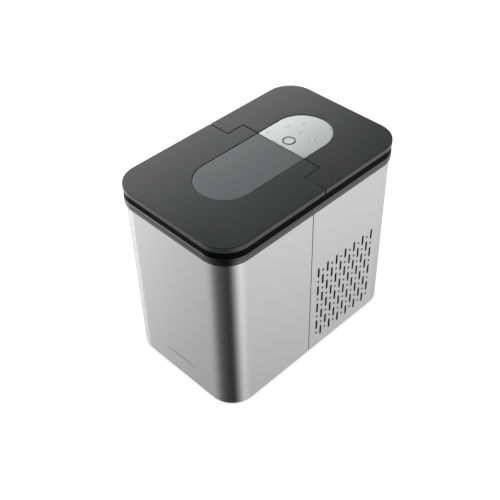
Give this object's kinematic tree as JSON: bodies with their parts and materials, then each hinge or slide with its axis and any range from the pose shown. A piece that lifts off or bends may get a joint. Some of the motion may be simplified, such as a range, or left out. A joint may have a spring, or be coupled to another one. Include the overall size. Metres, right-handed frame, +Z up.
{
  "type": "ice maker",
  "caption": "Countertop bullet-ice maker: stainless housing with side vents, gloss collar, hinged lid with smoked oval window, control fascia, ice basket and cooling unit.",
  "frame": {"origin": "on the surface the feet stand on, under the middle of the housing", "axes": "+Z up, front face towards -Y, the vented right-hand side towards +X"},
  "size_m": [0.217, 0.343, 0.302],
  "materials": {
    "steel": "satin",
    "collar_black": "gloss",
    "lid_grey": "satin",
    "smoked_window": "gloss",
    "silver": "satin",
    "chrome": "polished",
    "white_plastic": "satin",
    "clear_plastic": "gloss",
    "black_plastic": "satin",
    "rubber": "matte",
    "foam": "matte",
    "copper": "satin",
    "black_iron": "satin",
    "aluminium": "satin",
    "circuit_board": "satin"
  },
  "bodies": {
    "housing": {"front_shell": "steel", "rear_shell": "steel", "seam_strip_right": "black_plastic", "seam_strip_left": "black_plastic", "back_screw_1": "chrome", "back_screw_2": "chrome", "back_screw_3": "chrome", "back_screw_4": "chrome", "cord_gland": "rubber", "base_tray": "black_plastic", "foot_front_left": "rubber", "foot_front_right": "rubber", "foot_rear_left": "rubber", "foot_rear_right": "rubber", "top_collar": "collar_black", "hinge_pin_right": "chrome", "hinge_pin_left": "chrome", "rear_top_cover": "lid_grey", "control_fascia": "silver", "power_ring": "chrome", "indicator_light_pipe": "clear_plastic", "control_board": "circuit_board", "inner_liner": "white_plastic", "tank_insulation": "foam", "ice_basket": "clear_plastic", "bulkhead": "white_plastic", "drain_spout": "white_plastic", "evaporator": "aluminium", "tray_motor": "black_plastic", "ice_full_sensor": "black_plastic", "water_pump": "black_plastic", "pump_hose": "clear_plastic", "float_stem": "white_plastic", "compressor": "black_iron", "compressor_plate": "steel", "compressor_grommet_1": "rubber", "compressor_grommet_2": "rubber", "compressor_grommet_3": "rubber", "start_relay": "black_plastic", "condenser": "aluminium", "fan_shroud": "black_plastic", "fan_motor": "black_iron", "suction_tube": "copper", "discharge_tube": "copper", "filter_drier": "copper", "capillary_tube": "copper", "hot_gas_valve": "chrome", "board_box": "black_plastic", "main_board": "circuit_board"},
    "lid": {"lid_frame": "lid_grey", "lid_window": "smoked_window", "lid_inner_frame": "white_plastic"},
    "power_button": {"power_button": "white_plastic"},
    "select_button": {"select_button": "white_plastic"},
    "fan_rotor": {"fan_rotor": "black_plastic"},
    "water_tray": {"water_tray": "clear_plastic"},
    "ice_shovel": {"ice_shovel": "white_plastic"},
    "level_float": {"level_float": "black_plastic"},
    "drain_cap": {"drain_cap": "rubber"}
  },
  "joints": [
    {"name": "lid_hinge", "type": "hinge", "parent": "housing", "child": "lid", "pos_m": [0, 0.034, 0.298], "axis": [-1, 0, 0], "range_deg": [0, 95]},
    {"name": "power_press", "type": "slide", "parent": "housing", "child": "power_button", "axis": [0, 0, -1], "range_m": [0, 0.001], "stiffness_N_per_m": 200, "springref_m": -0.0005},
    {"name": "select_press", "type": "slide", "parent": "housing", "child": "select_button", "axis": [0, 0, -1], "range_m": [0, 0.001], "stiffness_N_per_m": 100, "springref_m": -0.0005},
    {"name": "fan_spin", "type": "hinge", "parent": "housing", "child": "fan_rotor", "pos_m": [-0.067, 0.087, 0.0598], "axis": [1, 0, 0], "continuous": true},
    {"name": "tray_tilt", "type": "hinge", "parent": "housing", "child": "water_tray", "pos_m": [0, -0.0141, 0.205], "axis": [-1, 0, 0], "range_deg": [0, 80]},
    {"name": "shovel_swing", "type": "hinge", "parent": "housing", "child": "ice_shovel", "pos_m": [0, -0.0266, 0.236], "axis": [1, 0, 0], "range_deg": [0, 48]},
    {"name": "float_rise", "type": "slide", "parent": "housing", "child": "level_float", "axis": [0, 0, 1], "range_m": [0, 0.023]},
    {"name": "drain_cap_pull", "type": "slide", "parent": "housing", "child": "drain_cap", "axis": [-1, 0, 0], "range_m": [0, 0.012]}
  ],
  "couplings": [
    {"joint": "shovel_swing", "follows": "tray_tilt", "ratio": 0.6}
  ]
}
